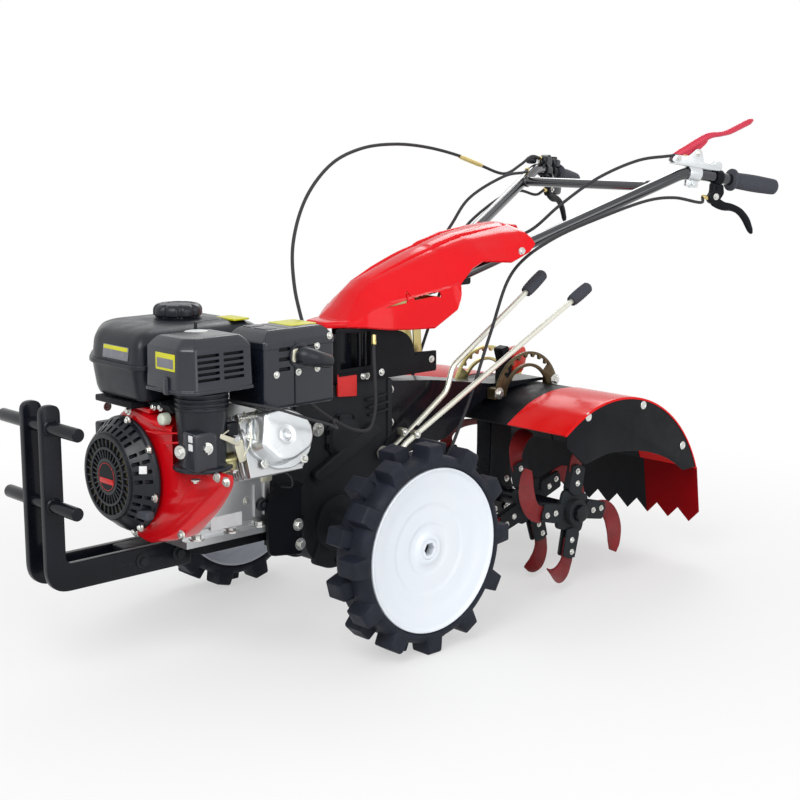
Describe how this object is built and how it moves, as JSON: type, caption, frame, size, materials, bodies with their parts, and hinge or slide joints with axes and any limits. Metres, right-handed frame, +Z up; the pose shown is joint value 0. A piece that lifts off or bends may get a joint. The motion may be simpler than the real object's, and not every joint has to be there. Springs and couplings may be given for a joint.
{
  "type": "power tiller",
  "caption": "Walk-behind power tiller: petrol engine, gear case on two lugged wheels, covered rotary tines behind, handlebar with hand levers, front weight hanger.",
  "frame": {"origin": "on the ground under the middle of the machine's box", "axes": "+X forward towards the engine, +Y to the machine's left, +Z up"},
  "size_m": [1.7958, 0.7, 1.0153],
  "materials": {
    "tyre": "moulded lugs, matt black rubber",
    "white_paint": "smooth gloss white enamel on pressed steel",
    "cable_sheath": "smooth black outer sheath",
    "grip_rubber": "moulded soft rubber",
    "engine_plastic": "fine grained black plastic",
    "red_paint": "gloss red paint on sheet steel",
    "red_lever": "red plastic coated steel lever",
    "red_plastic": "high gloss moulded red plastic",
    "tine_paint": "dark red primer on forged blades",
    "cast_alloy": "sand cast aluminium, dull silver",
    "pressed_steel": "pressed steel cover, satin silver",
    "zinc_plate": "yellow zinc plated steel",
    "black_casting": "black painted casting",
    "black_paint": "satin black powder coat"
  },
  "bodies": {
    "frame": {"front_rail_left": "black_paint", "front_rail_right": "black_paint", "weight_peg_upper": "black_paint", "weight_peg_lower": "black_paint", "engine_bed": "black_paint", "crankcase": "cast_alloy", "cylinder_head": "cast_alloy", "valve_cover": "pressed_steel", "fan_housing": "red_paint", "recoil_starter": "engine_plastic", "fuel_tank": "engine_plastic", "fuel_cap": "engine_plastic", "air_cleaner": "engine_plastic", "air_cleaner_bowl": "engine_plastic", "carburettor": "cast_alloy", "muffler": "black_paint", "exhaust_elbow": "black_paint", "clutch_housing": "black_casting", "side_bracket": "black_paint", "gearbox": "black_casting", "shift_shaft": "zinc_plate", "travel_shift_lever": "zinc_plate", "rotary_shift_lever": "zinc_plate", "console_bracket": "black_paint", "handlebar_column": "zinc_plate", "handle_left": "black_paint", "grip_left": "grip_rubber", "handle_right": "black_paint", "grip_right": "grip_rubber", "handle_crossbar": "black_paint", "clutch_lever": "red_lever", "steering_lever_left": "black_paint", "steering_lever_right": "black_paint", "throttle_control": "engine_plastic", "hood": "red_plastic", "rotary_gearcase": "black_casting", "depth_quadrant_left": "zinc_plate", "depth_quadrant_right": "zinc_plate", "fender_sheet": "red_paint", "fender_end_left": "black_paint", "fender_end_right": "black_paint", "throttle_cable": "cable_sheath", "clutch_cable": "cable_sheath", "steering_cable_left": "cable_sheath", "steering_cable_right": "cable_sheath", "stop_cable": "cable_sheath", "engine_cable": "cable_sheath"},
    "wheel_left": {"tyre_left": "tyre", "wheel_disc_left": "white_paint", "half_axle_left": "black_paint"},
    "wheel_right": {"tyre_right": "tyre", "wheel_disc_right": "white_paint", "half_axle_right": "black_paint"},
    "rotor": {"rotor_shaft": "black_paint", "tine_star_left_outer": "tine_paint", "tine_star_left_inner": "tine_paint", "tine_star_right_outer": "tine_paint", "tine_star_right_inner": "tine_paint"}
  },
  "joints": [
    {"name": "wheel_left_spin", "type": "hinge", "parent": "frame", "child": "wheel_left", "pos_m": [0.24987, 0.304, 0.20437], "axis": [0, 1, 0], "continuous": true},
    {"name": "wheel_right_spin", "type": "hinge", "parent": "frame", "child": "wheel_right", "pos_m": [0.24987, -0.304, 0.20437], "axis": [0, 1, 0], "continuous": true},
    {"name": "rotor_spin", "type": "hinge", "parent": "frame", "child": "rotor", "pos_m": [-0.27013, 0, 0.16904], "axis": [0, 1, 0], "continuous": true}
  ]
}
